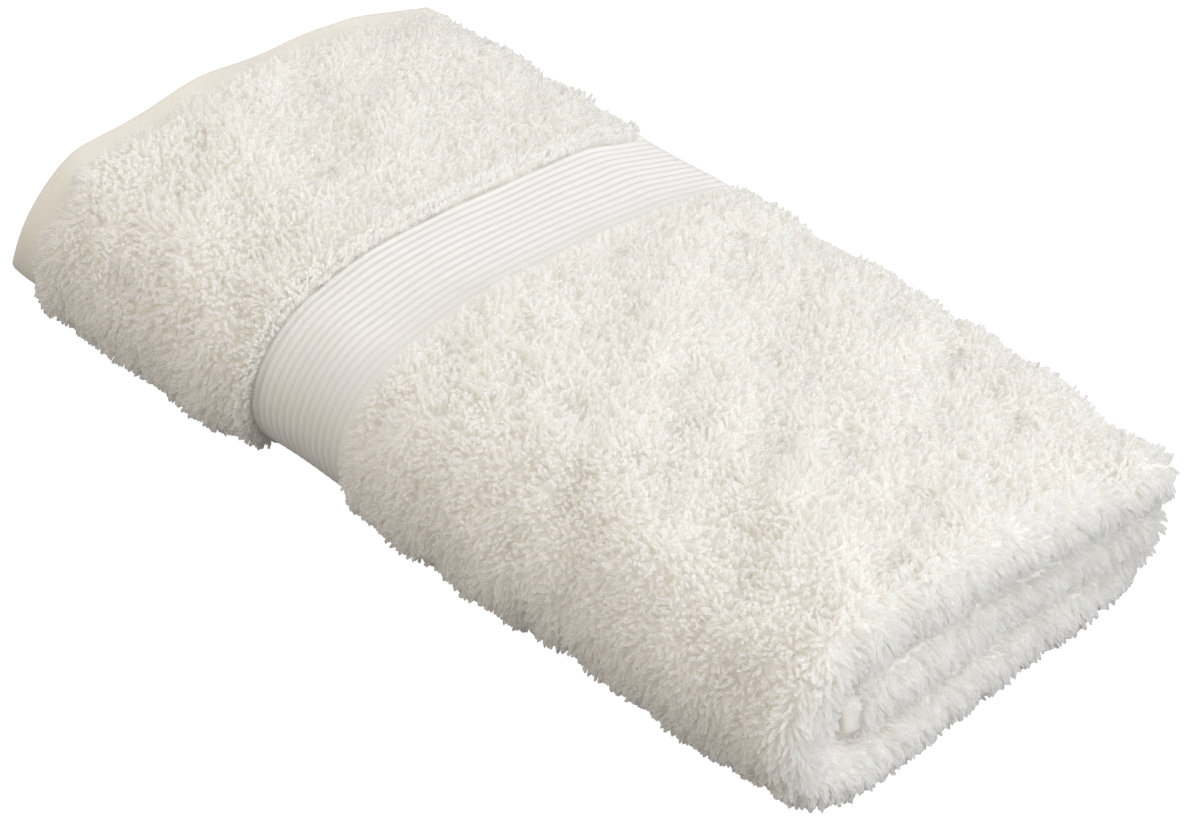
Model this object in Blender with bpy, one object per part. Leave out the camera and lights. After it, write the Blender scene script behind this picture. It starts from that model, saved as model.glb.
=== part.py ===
"""Folded terry hand towel, at its real size, in metres, +Z up.

One piece of looped cloth with flat hems and a ribbed border near each end. It is folded in half
hem to hem, and that double cloth is folded in three across its width: the back third forward,
then the front third over it. X runs from the hems to the lengthwise fold, Y from the long front
fold to the free selvage at the back. The origin is on the floor under the middle of the towel.

The cloth is lofted: an outline of the doubled cloth, seen along Y, is carried round the path that
the cloth takes across its width, seen along X, and the whole is then crowned and slackened.
"""

import math

import bmesh
import bpy

# Cut and folded sizes
FLAT_LENGTH = 0.70          # hem to hem
FLAT_WIDTH = 0.50           # selvage to selvage
PILE_HEIGHT = 0.0050        # ground weave to loop tips, on each face of the cloth
SLIT = 0.0008               # air between the two sheets of the doubled cloth
LAYER_GAP = 0.0008          # air between neighbouring folded layers
HEM_STAGGER = 0.005         # the under sheet's hem stops this much short of the upper one's

# The flat-woven parts, along the cloth from a hem
HEM_WIDTH = 0.0115
HEM_HALF = 0.0016           # half the thickness of the turned hem
HEM_EDGE_RUN = 0.0008       # run in which the hem rounds over at its turned edge
EDGE_HALF = 0.0010          # half the thickness of the cloth at a turned or woven edge
BORDER_START = 0.1070
BORDER_HALF = 0.0010        # ground weave to the bottoms of the border's grooves
RIB_COUNT = 13
RIB_PITCH = 0.0031
RIB_HEIGHT = 0.0008
BORDER_MARGIN_FAR = 0.003   # plain strip on the hem side of the ribs
BORDER_MARGIN_NEAR = 0.0045 # plain strip on the other side

# How the pile ends at the flat-woven parts and at the selvages
PILE_FOOT_RUN = 0.0008      # run in which the pile rises steeply
PILE_FOOT_SHARE = 0.7       # share of its height that it has at the end of that run
PILE_SHOULDER = 0.004       # run in which it reaches its full height
SELVAGE_THINNING = 0.35     # share of the pile's height left at the two woven selvages
SELVAGE_RUN = 0.011         # run in which the pile thins out towards a selvage

# Where the layers lie, worked out from the cloth's thickness
SHEET_OFFSET = PILE_HEIGHT + SLIT / 2
DOUBLE_HALF = 2 * PILE_HEIGHT + SLIT / 2
LAYER_STEP = 2 * DOUBLE_HALF + LAYER_GAP
LEVEL_BOTTOM = DOUBLE_HALF
LEVEL_MIDDLE = LEVEL_BOTTOM + LAYER_STEP
LEVEL_TOP = LEVEL_MIDDLE + LAYER_STEP
FRONT_CENTRE = LAYER_STEP + DOUBLE_HALF
STRAIGHT_UPPER = (FLAT_LENGTH - math.pi * SHEET_OFFSET + HEM_STAGGER) / 2
BORDER_END = BORDER_START + BORDER_MARGIN_FAR + RIB_COUNT * RIB_PITCH + BORDER_MARGIN_NEAR

# How the folds lie at sections along the towel
# along: distance from the upper hem; back_crease: centre of the back fold; inner_edge: selvage
# of the middle layer; droop: how far the free top layer bends down past the back fold, degrees;
# front, back: shift of the towel's two long sides, positive to the back
SECTION_COLUMNS = ("along", "back_crease", "inner_edge", "droop", "front", "back")
SECTIONS = (
    (0.000, 0.150, 0.025, 18.0, 0.000, 0.000),
    (0.055, 0.151, 0.025, 20.0, 0.000, 0.001),
    (0.115, 0.151, 0.025, 18.0, 0.002, 0.000),
    (0.185, 0.150, 0.025, 15.0, 0.001, 0.000),
    (0.265, 0.153, 0.025, 10.0, 0.000, 0.001),
    (0.355, 0.156, 0.025, 3.0, 0.003, -0.002),
)

# Height of the stack across its width, as a share of the full thickness
CROWN_COLUMNS = ("across", "share")
CROWN = (
    (0.000, 0.89),
    (0.030, 0.93),
    (0.058, 1.055),
    (0.088, 1.01),
    (0.120, 0.94),
    (0.145, 0.87),
    (0.168, 0.82),
    (0.208, 0.72),
)

# Slack in the pile: waves over the whole towel
# length_x, length_y: wave lengths; phase in turns; height: share of the local height; sway: metres
WAVE_COLUMNS = ("length_x", "length_y", "phase", "height", "sway")
WAVES = (
    (0.066, 0.110, 0.10, 0.012, 0.0006),
    (0.043, -0.077, 0.35, 0.010, 0.0005),
    (0.120, 0.056, 0.70, 0.012, 0.0008),
    (0.031, 0.047, 0.55, 0.007, 0.0003),
)

# Where the cloth ends along X: shifts at the two long sides, for the floor and the top surface
END_COLUMNS = ("height", "far_front", "far_back", "near_front", "near_back")
ENDS = (
    (0.0, 0.004, 0.004, 0.000, -0.009),
    (1.0, 0.000, 0.000, -0.008, 0.004),
)
END_RUN = 0.09              # length over which those shifts die out
HEM_EAR = 0.005             # the hem pokes out this much where it rounds the front fold
EAR_RUN = 0.022             # width over which that dies out

# Centre of the folded towel's box, measured from the upper hem and the front fold
CENTRE_X = 0.1756
CENTRE_Y = 0.0939

TERRY_COLOUR = (0.86, 0.83, 0.77, 1.0)
TERRY_ROUGHNESS = 0.95


def table(columns, rows):
    """Rows of a table as dictionaries, so that each number is read by its column's name."""
    return [dict(zip(columns, row)) for row in rows]


def smooth_value(rows, key, column, at):
    """A column's value at a place between rows, on a smooth curve through all of them."""
    places = [row[key] for row in rows]
    values = [row[column] for row in rows]
    at = min(max(at, places[0]), places[-1])
    slopes = []
    for i in range(len(rows)):
        low = max(i - 1, 0)
        high = min(i + 1, len(rows) - 1)
        slopes.append((values[high] - values[low]) / (places[high] - places[low]))
    for i in range(len(rows) - 1):
        if at <= places[i + 1]:
            break
    step = places[i + 1] - places[i]
    t = (at - places[i]) / step
    hold = (1 + 2 * t) * (1 - t) ** 2 * values[i] + (3 - 2 * t) * t * t * values[i + 1]
    turn = t * (1 - t) ** 2 * slopes[i] - (1 - t) * t * t * slopes[i + 1]
    return hold + turn * step


SECTION_ROWS = table(SECTION_COLUMNS, SECTIONS)
CROWN_ROWS = table(CROWN_COLUMNS, CROWN)
WAVE_ROWS = table(WAVE_COLUMNS, WAVES)
END_ROWS = table(END_COLUMNS, ENDS)


def blend(share, start, end):
    """The value at a share of the way from start to end."""
    return start + (end - start) * share


def spread(start, end, steps):
    """Even places from start to end."""
    return [blend(i / steps, start, end) for i in range(steps + 1)]


# The outline of the doubled cloth, as places along one sheet and heights over its ground weave

def hem_face(field_end, field_steps):
    """(place, height) pairs of a hem and of the pile field that follows it."""
    pile_foot = (HEM_WIDTH + PILE_FOOT_RUN, PILE_HEIGHT * PILE_FOOT_SHARE)
    hem = [(0.0, EDGE_HALF), (HEM_EDGE_RUN, HEM_HALF), (HEM_WIDTH, HEM_HALF), pile_foot]
    field = spread(HEM_WIDTH + PILE_SHOULDER, field_end, field_steps)
    return hem + [(place, PILE_HEIGHT) for place in field]


def outer_face(straight, ribbed):
    """(place, height) pairs on the outside of one sheet, from its hem to the lengthwise fold."""
    field = hem_face(BORDER_START - PILE_SHOULDER, 5)
    foot_height = PILE_HEIGHT * PILE_FOOT_SHARE
    edge_in = [(BORDER_START - PILE_FOOT_RUN, foot_height), (BORDER_START, BORDER_HALF)]
    ribs = []
    if ribbed:
        first = BORDER_START + BORDER_MARGIN_FAR
        for rib in range(RIB_COUNT):
            ribs.append((first + rib * RIB_PITCH, BORDER_HALF))
            ribs.append((first + (rib + 0.5) * RIB_PITCH, BORDER_HALF + RIB_HEIGHT))
        ribs.append((first + RIB_COUNT * RIB_PITCH, BORDER_HALF))
    edge_out = [(BORDER_END, BORDER_HALF), (BORDER_END + PILE_FOOT_RUN, foot_height)]
    main = [(place, PILE_HEIGHT) for place in spread(BORDER_END + PILE_SHOULDER, straight, 9)]
    return field + edge_in + ribs + edge_out + main


def outline():
    """The doubled cloth's outline as (place on the sheet, side, height), round from one hem.

    A place is (sheet, distance): sheet "upper" or "under" with the distance from its hem, or
    "turn" with the angle round the lengthwise fold. Side is +1 outside and -1 in the slit.
    """
    straight_under = STRAIGHT_UPPER - HEM_STAGGER
    turn_outer = [(("turn", angle), 1, PILE_HEIGHT) for angle in spread(0.0, math.pi, 8)[1:-1]]
    turn_inner = [(("turn", math.pi / 2), -1, PILE_HEIGHT)]
    upper_out = [(("upper", d), 1, h) for d, h in outer_face(STRAIGHT_UPPER, True)]
    under_out = [(("under", d), 1, h) for d, h in outer_face(straight_under, False)]
    upper_in = [(("upper", d), -1, h) for d, h in hem_face(STRAIGHT_UPPER, 8)]
    under_in = [(("under", d), -1, h) for d, h in hem_face(straight_under, 8)]
    outer = upper_out + turn_outer + under_out[::-1]
    inner = upper_in + turn_inner + under_in[::-1]
    return outer, inner


def lengthwise(place, side, height):
    """Distance from the upper hem and offset from the middle of the doubled cloth."""
    sheet, measure = place
    if sheet == "upper":
        return measure, SHEET_OFFSET + side * height
    if sheet == "under":
        return measure + HEM_STAGGER, -SHEET_OFFSET - side * height
    radius = SHEET_OFFSET + side * height
    return STRAIGHT_UPPER + radius * math.sin(measure), radius * math.cos(measure)


# The path of the doubled cloth across its width

def crossing(run, share, along):
    """Centre (y, z), outward normal and selvage distance at a share of one run of the path."""
    back = smooth_value(SECTION_ROWS, "along", "back_crease", along)
    inner = smooth_value(SECTION_ROWS, "along", "inner_edge", along)
    droop = math.radians(smooth_value(SECTION_ROWS, "along", "droop", along))
    back_level = (LEVEL_BOTTOM + LEVEL_MIDDLE) / 2
    bend = LEVEL_TOP - back_level
    used = (back - inner) + (back - FRONT_CENTRE) * 2 + droop * bend
    used += math.pi * (LAYER_STEP / 2 + LAYER_STEP)
    tail = FLAT_WIDTH - used
    if run == "middle":
        y = inner + (back - inner) * share
        return (y, LEVEL_MIDDLE), (0.0, 1.0), y - inner
    if run == "back_fold":
        turn = math.pi / 2 - math.pi * share
        normal = (math.cos(turn), math.sin(turn))
        return (back + normal[0] * LAYER_STEP / 2, back_level + normal[1] * LAYER_STEP / 2), normal, 1.0
    if run == "bottom":
        return (back + (FRONT_CENTRE - back) * share, LEVEL_BOTTOM), (0.0, -1.0), 1.0
    if run == "front_fold":
        turn = -math.pi / 2 - math.pi * share
        normal = (math.cos(turn), math.sin(turn))
        y = FRONT_CENTRE + normal[0] * LAYER_STEP
        return (y, LEVEL_MIDDLE + normal[1] * LAYER_STEP), normal, 1.0
    if run == "top":
        return (FRONT_CENTRE + (back - FRONT_CENTRE) * share, LEVEL_TOP), (0.0, 1.0), 1.0
    if run == "bend":
        turn = math.pi / 2 - droop * share
        normal = (math.cos(turn), math.sin(turn))
        return (back + normal[0] * bend, back_level + normal[1] * bend), normal, tail
    normal = (math.sin(droop), math.cos(droop))
    y = back + normal[0] * bend + normal[1] * tail * share
    z = back_level + normal[1] * bend - normal[0] * tail * share
    return (y, z), normal, tail * (1 - share)


# run: part of the path; steps: even loft sections in it; selvage: shares of the run where the
# pile thins out towards a selvage and sections lie closer
RUN_COLUMNS = ("run", "steps", "selvage")
RUNS = (
    ("middle", 6, (0.03, 0.10)),
    ("back_fold", 6, ()),
    ("bottom", 5, ()),
    ("front_fold", 9, ()),
    ("top", 8, ()),
    ("bend", 3, ()),
    ("tail", 4, (0.88, 0.96)),
)


def stations():
    """Every loft section as (run, share), from the middle layer's selvage to the top layer's."""
    places = []
    for row in table(RUN_COLUMNS, RUNS):
        shares = spread(0.0, 1.0, row["steps"])[:-1] + list(row["selvage"])
        places += [(row["run"], share) for share in sorted(shares)]
    return places + [("tail", 1.0)]


def settle(x, y, z):
    """Crown, sag and slack of the whole stack, which leave the underside flat on the floor."""
    share = smooth_value(CROWN_ROWS, "across", "share", y)
    side = y / CROWN_ROWS[-1]["across"]
    front = smooth_value(SECTION_ROWS, "along", "front", x)
    back = smooth_value(SECTION_ROWS, "along", "back", x)
    height = z / (LEVEL_TOP + DOUBLE_HALF)
    near = max(0.0, 1 - (STRAIGHT_UPPER + DOUBLE_HALF - x) / END_RUN) ** 2
    far = max(0.0, 1 - x / END_RUN) ** 2
    shift = -HEM_EAR * far * math.exp(-(y / EAR_RUN) ** 2)
    for end, reach in (("far", far), ("near", near)):
        at_front = blend(height, END_ROWS[0][end + "_front"], END_ROWS[1][end + "_front"])
        at_back = blend(height, END_ROWS[0][end + "_back"], END_ROWS[1][end + "_back"])
        shift += reach * blend(side, at_front, at_back)
    lift = 0.0
    sway = 0.0
    for wave in WAVE_ROWS:
        angle = 2 * math.pi * (x / wave["length_x"] + y / wave["length_y"] + wave["phase"])
        lift += wave["height"] * math.sin(angle)
        sway += wave["sway"] * math.cos(angle)
    return (
        x + shift - CENTRE_X,
        y + front * (1 - side) + back * side + sway - CENTRE_Y,
        z * share * (1 + lift),
    )


def towel_point(place, side, height, run, share):
    """A point of the towel's surface: its place in the outline, carried to one loft section."""
    along = lengthwise(place, side, height)[0]
    centre, normal, to_selvage = crossing(run, share, along)
    edge = min(1.0, max(0.0, to_selvage) / SELVAGE_RUN)
    thinned = height * (SELVAGE_THINNING + (1 - SELVAGE_THINNING) * math.sqrt(edge * (2 - edge)))
    x, offset = lengthwise(place, side, min(height, max(thinned, EDGE_HALF)))
    return settle(x, centre[0] + normal[0] * offset, centre[1] + normal[1] * offset)


def close_end(mesh, outer, inner, flip):
    """Fill one selvage end with triangles between the outside chain and the slit's chain."""
    i = 0
    j = 0
    while i < len(outer) - 1 or j < len(inner) - 1:
        take_outer = i < len(outer) - 1
        if take_outer and j < len(inner) - 1:
            reach_outer = (outer[i + 1].co - inner[j].co).length
            reach_inner = (inner[j + 1].co - outer[i].co).length
            take_outer = reach_outer <= reach_inner
        if take_outer:
            corners = (outer[i], outer[i + 1], inner[j])
            i += 1
        else:
            corners = (outer[i], inner[j + 1], inner[j])
            j += 1
        mesh.faces.new(corners[::-1] if flip else corners)


def terry_material():
    """Warm white cotton."""
    material = bpy.data.materials.new("terry_cotton")
    material.use_nodes = True
    shader = material.node_tree.nodes["Principled BSDF"]
    shader.inputs["Base Color"].default_value = TERRY_COLOUR
    shader.inputs["Roughness"].default_value = TERRY_ROUGHNESS
    shader.inputs["Metallic"].default_value = 0.0
    material.diffuse_color = TERRY_COLOUR
    return material


def make_towel(collection):
    """Loft the cloth and close it at its two selvages."""
    outer, inner = outline()
    ring = outer + inner[::-1]
    mesh = bmesh.new()
    columns = []
    for run, share in stations():
        columns.append([mesh.verts.new(towel_point(*point, run, share)) for point in ring])
    for here, there in zip(columns, columns[1:]):
        for i in range(len(ring)):
            j = (i + 1) % len(ring)
            mesh.faces.new((here[i], here[j], there[j], there[i]))
    for column, flip in ((columns[0], True), (columns[-1], False)):
        close_end(mesh, column[:len(outer)], column[len(outer):][::-1], flip)
    bmesh.ops.recalc_face_normals(mesh, faces=mesh.faces)
    data = bpy.data.meshes.new("towel")
    mesh.to_mesh(data)
    mesh.free()
    data.shade_smooth()
    data.set_sharp_from_angle(angle=math.radians(50))
    towel = bpy.data.objects.new("towel", data)
    towel.data.materials.append(terry_material())
    collection.objects.link(towel)
    return towel


for old in list(bpy.data.objects):
    bpy.data.objects.remove(old, do_unlink=True)
hand_towel = bpy.data.collections.new("hand_towel")
bpy.context.scene.collection.children.link(hand_towel)
make_towel(hand_towel)
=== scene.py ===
"""Looks of the folded terry hand towel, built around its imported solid. Metres, +Z up.

X runs from the two hems to the lengthwise fold at the near end, and Y from the long front fold to
the free selvage at the back. The towel lies on the surface at Z = 0.
"""

import math

import bpy
import numpy as np
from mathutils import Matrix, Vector, noise


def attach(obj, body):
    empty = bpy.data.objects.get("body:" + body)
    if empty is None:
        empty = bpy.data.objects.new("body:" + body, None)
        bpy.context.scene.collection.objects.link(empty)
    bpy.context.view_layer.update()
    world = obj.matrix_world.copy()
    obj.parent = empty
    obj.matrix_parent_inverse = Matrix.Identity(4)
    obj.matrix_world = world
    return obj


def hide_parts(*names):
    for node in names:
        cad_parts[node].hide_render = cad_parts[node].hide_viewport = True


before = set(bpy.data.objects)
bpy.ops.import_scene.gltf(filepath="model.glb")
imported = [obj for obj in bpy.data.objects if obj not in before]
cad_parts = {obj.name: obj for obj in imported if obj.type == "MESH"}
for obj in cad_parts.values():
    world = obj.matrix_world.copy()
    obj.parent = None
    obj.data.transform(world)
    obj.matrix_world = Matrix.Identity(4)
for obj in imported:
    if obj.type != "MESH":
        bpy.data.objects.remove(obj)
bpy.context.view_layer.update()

# Studio
# A plain grey table top, which glows white to the camera alone, and light from all round, with two
# cool soft lights, one above and behind the towel and one at its near end, and a weaker warm one at
# its front. A long lens looks down on the near front corner.

CAMERA_PLACE = (0.969, -0.973, 1.146)
CAMERA_AIM = (0.0062, -0.0024, 0.0184)
CAMERA_LENS_MM = 165.0
CAMERA_SENSOR_MM = 36.0
TABLE_HALF = 6.0
TABLE_GAP = 0.0002          # the table lies this much below the cloth
TABLE_COLOUR = (0.22, 0.22, 0.22, 1.0)
TABLE_ROUGHNESS = 0.9
TABLE_GLOW = 0.96           # white glow that only the camera sees
SKY_COLOUR = (1.0, 0.975, 0.93, 1.0)
SKY_STRENGTH = 0.61


def table(columns, rows):
    """A table's rows as dictionaries, so that values are read by their column's name."""
    return [dict(zip(columns, row)) for row in rows]


# aim: the place that the light is turned to; side: its length in metres; power: in watts
SOFT_LIGHTS = table(("name", "place", "aim", "side", "power", "colour"), (
    ("overhead", (0.65, 0.75, 1.9), (0.0, 0.0, 0.0), 1.6, 19.0, (0.865, 0.918, 1.0)),
    ("near_end", (1.9, 0.6, 0.65), (0.1, 0.0, 0.03), 1.2, 17.0, (0.86, 0.915, 1.0)),
    ("front_left", (-1.0, -1.5, 0.85), (0.0, -0.05, 0.03), 1.0, 6.8, (1.0, 0.885, 0.755)),
))


def add_object(name, data):
    """A new object in the scene for some data."""
    made = bpy.data.objects.new(name, data)
    bpy.context.scene.collection.objects.link(made)
    return made


def aim(thing, place, target):
    """Stand a camera or light at a place and turn it to a target."""
    thing.location = place
    thing.rotation_euler = (Vector(target) - Vector(place)).to_track_quat("-Z", "Y").to_euler()


def node(tree, kind, inputs=None, **settings):
    """A node with its settings, and its inputs given as values or as sockets to join."""
    made = tree.nodes.new(kind)
    for name, value in settings.items():
        setattr(made, name, value)
    for name, value in (inputs or {}).items():
        named = [socket for socket in made.inputs if socket.name == name and socket.enabled]
        socket = made.inputs[name] if isinstance(name, int) else named[0]
        if isinstance(value, bpy.types.NodeSocket):
            tree.links.new(value, socket)
        else:
            socket.default_value = value
    return made


def result(made):
    """The first output of a node that is in use."""
    return next(socket for socket in made.outputs if socket.enabled)


lens = bpy.data.cameras.new("camera")
lens.lens = CAMERA_LENS_MM
lens.sensor_width = CAMERA_SENSOR_MM
camera = add_object("camera", lens)
aim(camera, CAMERA_PLACE, CAMERA_AIM)
bpy.context.scene.camera = camera

for row in SOFT_LIGHTS:
    panel = bpy.data.lights.new(row["name"], "AREA")
    panel.size = row["side"]
    panel.energy = row["power"]
    panel.color = row["colour"]
    aim(add_object(row["name"], panel), row["place"], row["aim"])

sky = bpy.data.worlds.new("studio")
sky.use_nodes = True
sky_light = sky.node_tree.nodes["Background"]
sky_light.inputs["Color"].default_value = SKY_COLOUR
sky_light.inputs["Strength"].default_value = SKY_STRENGTH
bpy.context.scene.world = sky
bpy.context.scene.view_settings.view_transform = "Standard"

table_paint = bpy.data.materials.new("table_paint")
table_paint.use_nodes = True
paint_nodes = table_paint.node_tree
table_shader = paint_nodes.nodes["Principled BSDF"]
table_shader.inputs["Base Color"].default_value = TABLE_COLOUR
table_shader.inputs["Roughness"].default_value = TABLE_ROUGHNESS
seen = node(paint_nodes, "ShaderNodeLightPath").outputs["Is Camera Ray"]
glow = node(paint_nodes, "ShaderNodeMath", {0: seen, 1: TABLE_GLOW}, operation="MULTIPLY")
paint_nodes.links.new(result(glow), table_shader.inputs["Emission Strength"])
table_mesh = bpy.data.meshes.new("table_top")
corners = ((-1, -1), (1, -1), (1, 1), (-1, 1))
table_corners = [(x * TABLE_HALF, y * TABLE_HALF, -TABLE_GAP) for x, y in corners]
table_mesh.from_pydata(table_corners, [], [(0, 1, 2, 3)])
table_mesh.materials.append(table_paint)
add_object("table_top", table_mesh)

# Towel cloth
# One cut of looped cotton, 500 x 700 mm, woven with flat ends that are turned into hems and with
# a flat ribbed border near each end. It is folded in half hem to hem, and the double cloth in
# three across its width. This is its ground weave; the loops of its pile stand on it.

FLAT_LENGTH = 0.70          # hem to hem
FLAT_WIDTH = 0.50           # selvage to selvage
PILE_HEIGHT = 0.0050        # half the thickness of one sheet in the solid, pile and all
SLIT = 0.0008               # air between the two sheets of the doubled cloth
LAYER_GAP = 0.0008          # air between neighbouring folded layers
HEM_STAGGER = 0.005         # the under sheet's hem stops this much short of the upper one's
HEM_WIDTH = 0.0115
HEM_HALF = 0.0016           # half the thickness of the turned hem
HEM_EDGE_RUN = 0.0008
HEM_PLACES = (0.0, HEM_EDGE_RUN, 0.0022, 0.0045, 0.0070, 0.0092, 0.0104, HEM_WIDTH)
EDGE_HALF = 0.0010          # half the thickness at a turned or woven edge
BORDER_START = 0.1070
BORDER_HALF = 0.0010        # middle of the ground weave to the bottoms of the border's grooves
RIB_COUNT = 13
RIB_PITCH = 0.0031
RIB_HEIGHT = 0.0009
RIB_FLATNESS = 3            # power that widens a rib's crest and narrows its groove
FLAT_BORDER_SHARE = 0.35    # the border's flat weave stands this share of a rib over its grooves
RIB_CUTS = 8                # points across one rib
FINE_STEP = 0.0028          # between points along the pile's ground: outside on the upper sheet,
COARSE_STEP = 0.0045        # outside on the under sheet
INSIDE_STEP = 0.0130        # and in the slit
TURN_STEPS = 14             # round the lengthwise fold
BORDER_MARGIN_FAR = 0.003
BORDER_MARGIN_NEAR = 0.0045
PILE_OVER_BORDER = 0.0028   # the ground under the pile runs this far over the border's hem side
PILE_FOOT_RUN = 0.0008
PILE_SHOULDER = 0.004       # the ground rises to its full height in this length
PILE_EDGE = 0.0015          # the same at the border's hem side, where the pile stands up to it
GROUND_DROP = 0.0014        # the ground weave lies this much inside the solid's surface
SELVAGE_THINNING = 0.35     # share of its thickness that the cloth keeps at a selvage
SELVAGE_RUN = 0.011

SHEET_OFFSET = PILE_HEIGHT + SLIT / 2
DOUBLE_HALF = 2 * PILE_HEIGHT + SLIT / 2
LAYER_STEP = 2 * DOUBLE_HALF + LAYER_GAP
LEVEL_BOTTOM = DOUBLE_HALF
LEVEL_MIDDLE = LEVEL_BOTTOM + LAYER_STEP
LEVEL_TOP = LEVEL_MIDDLE + LAYER_STEP
FRONT_CENTRE = LAYER_STEP + DOUBLE_HALF
STRAIGHT_UPPER = (FLAT_LENGTH - math.pi * SHEET_OFFSET + HEM_STAGGER) / 2
RIBS_START = BORDER_START + BORDER_MARGIN_FAR
RIBS_END = RIBS_START + RIB_COUNT * RIB_PITCH
BORDER_END = RIBS_END + BORDER_MARGIN_NEAR
PILE_END = BORDER_START + PILE_OVER_BORDER

# How the folds lie along the towel, as in the solid. along: from the upper hem; back_crease,
# inner_edge: Y where the back fold starts, and of the middle layer's selvage; droop: degrees that
# the free flap hangs down; front, back: how far that side is pushed out
SECTIONS = table(("along", "back_crease", "inner_edge", "droop", "front", "back"), (
    (0.0, 0.15, 0.025, 18.0, 0.0, 0.0),
    (0.055, 0.151, 0.025, 20.0, 0.0, 0.001),
    (0.115, 0.151, 0.025, 18.0, 0.002, 0.0),
    (0.185, 0.15, 0.025, 15.0, 0.001, 0.0),
    (0.265, 0.153, 0.025, 10.0, 0.0, 0.001),
    (0.355, 0.156, 0.025, 3.0, 0.003, -0.002),
))
# Share of its full height that the stack keeps across the towel
CROWN = table(("across", "share"), (
    (0.0, 0.91),
    (0.03, 0.975),
    (0.058, 1.035),
    (0.088, 1.005),
    (0.12, 0.94),
    (0.145, 0.87),
    (0.168, 0.82),
    (0.208, 0.72),
))
# Slow waves in the stack: their lengths, and how far they lift and sway it
WAVES = table(("length_x", "length_y", "phase", "height", "sway"), (
    (0.066, 0.11, 0.1, 0.012, 0.0006),
    (0.043, -0.077, 0.35, 0.01, 0.0005),
    (0.12, 0.056, 0.7, 0.012, 0.0008),
    (0.031, 0.047, 0.55, 0.007, 0.0003),
))
# How far the corners stand out past the ends, at the bottom and at the top of the stack
ENDS = table(("far_front", "far_back", "near_front", "near_back"), (
    (0.004, 0.004, 0.0, -0.009),
    (0.0, 0.0, -0.008, 0.004),
))
END_RUN = 0.09
HEM_EAR = 0.0015            # how far the hem juts out all along the front fold
EAR_RUN = 0.026
HEM_POINT = 0.010           # how far the hem juts out where it goes round the front fold
POINT_HEIGHT = 0.023
POINT_RUN = 0.012
CENTRE_X = 0.1756
CENTRE_Y = 0.0939

# Soft troughs (depth over 0) and ridges (under 0) in the cloth, placed one by one
# along: from the upper hem; across: from the middle layer's selvage; turn: degrees from the
# hem's direction; length and width of the trough; depth
CREASES = table(("along", "across", "turn", "length", "width", "depth"), (
    (0.06, 0.4, 20.0, 0.05, 0.012, 0.001),
    (0.035, 0.33, -35.0, 0.04, 0.01, 0.0008),
    (0.085, 0.3, 70.0, 0.035, 0.01, 0.0009),
    (0.19, 0.43, -25.0, 0.06, 0.013, 0.001),
    (0.215, 0.35, 40.0, 0.05, 0.012, 0.0009),
    (0.265, 0.405, 10.0, 0.045, 0.012, -0.0008),
    (0.29, 0.32, -50.0, 0.04, 0.011, 0.001),
    (0.325, 0.375, 5.0, 0.06, 0.013, 0.0009),
    (0.24, 0.29, 80.0, 0.05, 0.011, -0.0008),
))

# run: part of the path across the cloth; steps: even sections in it; selvage: shares of the run
# where the cloth thins out towards a selvage
RUNS = table(("run", "steps", "selvage"), (
    ("middle", 18, (0.008, 0.02, 0.035)),
    ("back_fold", 14, ()),
    ("bottom", 16, ()),
    ("front_fold", 36, ()),
    ("top", 50, ()),
    ("bend", 5, ()),
    ("tail", 14, (0.955, 0.98, 0.992)),
))
CREASE_FADE = 0.015         # creases and waves have their full depth this far from the border
BORDER_SLACK = 0.25         # share of the waves that is left in the firmer border
# size, height: round lumps with sharper valleys, into which washing has drawn the pile
LUMPS = table(("size", "height"), (
    (0.018, 0.0045),
    (0.009, 0.0016),
))
LUMP_MIDDLE = 0.22          # mean of the noise that the lumps come from
PRESSED_UNDER = 0.008       # below this height the pile is pressed, flat where it touches
NO_LENGTH = 1e-12


def smooth_value(rows, key, column, at):
    """A column's values at places between rows, on a smooth curve through all of them."""
    places = np.array([row[key] for row in rows])
    values = np.array([row[column] for row in rows])
    low = np.maximum(np.arange(len(rows)) - 1, 0)
    high = np.minimum(np.arange(len(rows)) + 1, len(rows) - 1)
    slopes = (values[high] - values[low]) / (places[high] - places[low])
    at = np.clip(at, places[0], places[-1])
    i = np.clip(np.searchsorted(places, at) - 1, 0, len(rows) - 2)
    step = places[i + 1] - places[i]
    t = (at - places[i]) / step
    hold = (1 + 2 * t) * (1 - t) ** 2 * values[i] + (3 - 2 * t) * t * t * values[i + 1]
    turn = t * (1 - t) ** 2 * slopes[i] - (1 - t) * t * t * slopes[i + 1]
    return hold + turn * step


def soft_step(at, start, end):
    """0 before start, 1 after end, and smooth between them."""
    t = np.clip((at - start) / (end - start), 0.0, 1.0)
    return t * t * (3 - 2 * t)


def off_border(at):
    """0 in the border, rising to 1 where creases and waves have their full depth."""
    return soft_step(np.maximum(BORDER_START - at, at - BORDER_END), 0.0, CREASE_FADE)


def spread(start, end, gap):
    """Even places from start to end, about a gap apart."""
    return np.linspace(start, end, max(2, round(abs(end - start) / gap) + 1))


def flat_places(pile_gap, rib_cuts):
    """Places along one sheet from its hem to the lengthwise fold, closer where it is ribbed."""
    field = spread(HEM_WIDTH + PILE_SHOULDER, PILE_END - PILE_SHOULDER, pile_gap)
    ribs = np.linspace(RIBS_START, RIBS_END, RIB_COUNT * rib_cuts + 1)
    main = spread(BORDER_END + PILE_SHOULDER, STRAIGHT_UPPER - HEM_STAGGER, pile_gap)
    foot = np.array((PILE_FOOT_RUN, PILE_SHOULDER / 2))
    return np.concatenate((
        HEM_PLACES,
        HEM_WIDTH + foot,
        field,
        PILE_END - foot[::-1],
        [PILE_END],
        ribs,
        [(RIBS_END + BORDER_END) / 2, BORDER_END],
        BORDER_END + foot,
        main,
    ))


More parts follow.
